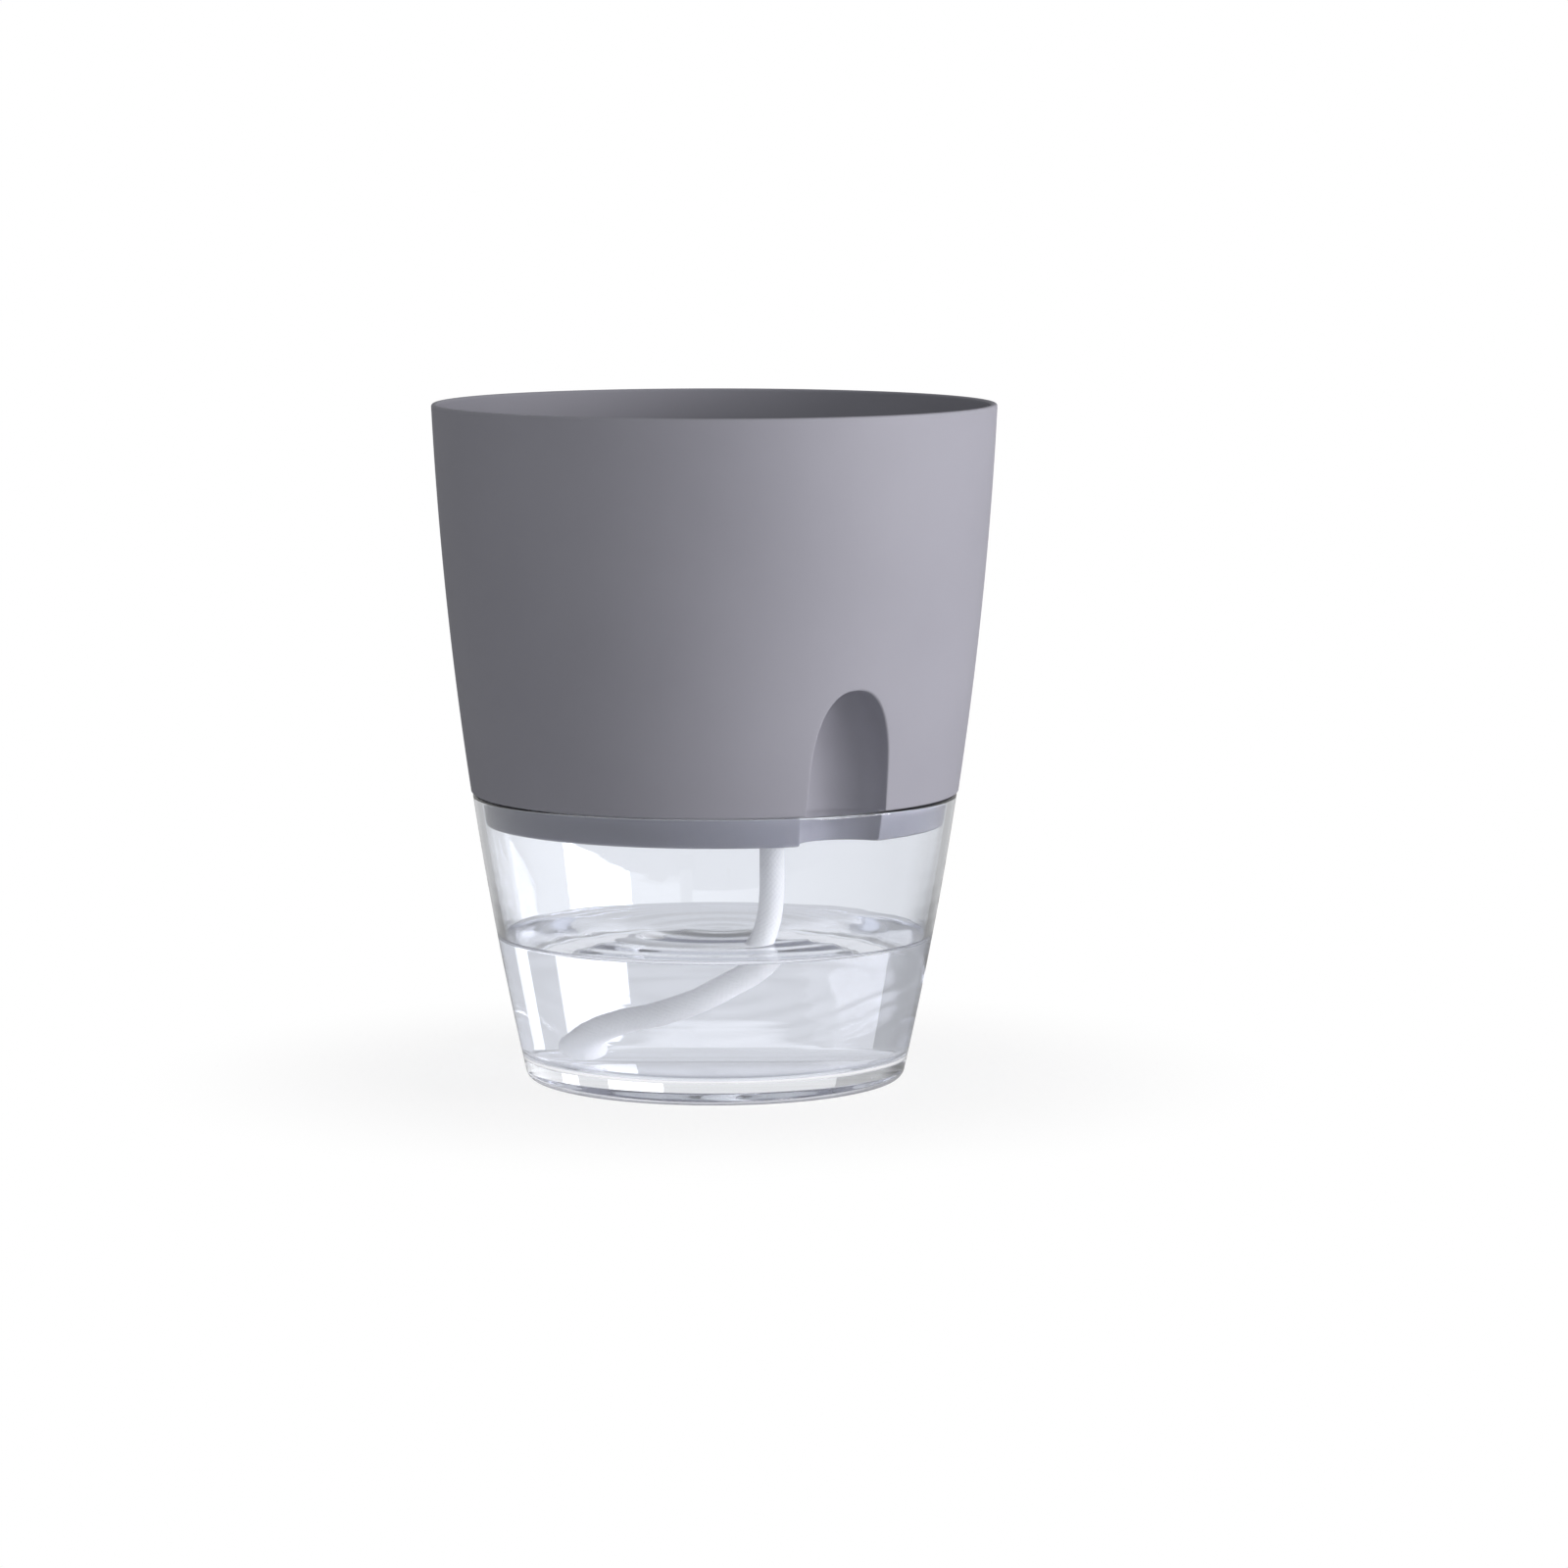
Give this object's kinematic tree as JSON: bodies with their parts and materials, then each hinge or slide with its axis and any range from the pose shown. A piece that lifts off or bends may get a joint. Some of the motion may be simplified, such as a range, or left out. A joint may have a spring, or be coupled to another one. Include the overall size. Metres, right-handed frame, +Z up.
{
  "type": "self-watering pot",
  "caption": "Round tapered plant pot that seats in a clear water reservoir, with a filling scoop at the front and a wick that draws water up to the soil.",
  "frame": {"origin": "middle of the reservoir's foot, on the surface that the pot stands on", "axes": "+Z up the pot's axis, -Y towards the filling scoop"},
  "size_m": [0.16, 0.16, 0.1923],
  "materials": {
    "clear_plastic": "clear, polished in the mould",
    "matt_plastic": "fine matt mould texture, lilac grey",
    "wick_cord": "white braided cord"
  },
  "bodies": {
    "reservoir": {"reservoir": "clear_plastic"},
    "planter": {"planter": "matt_plastic", "wick_lower": "wick_cord", "wick_upper": "wick_cord"}
  },
  "joints": [
    {"name": "planter_lift", "type": "slide", "parent": "reservoir", "child": "planter", "axis": [0, 0, 1], "range_m": [0, 0.12]}
  ]
}
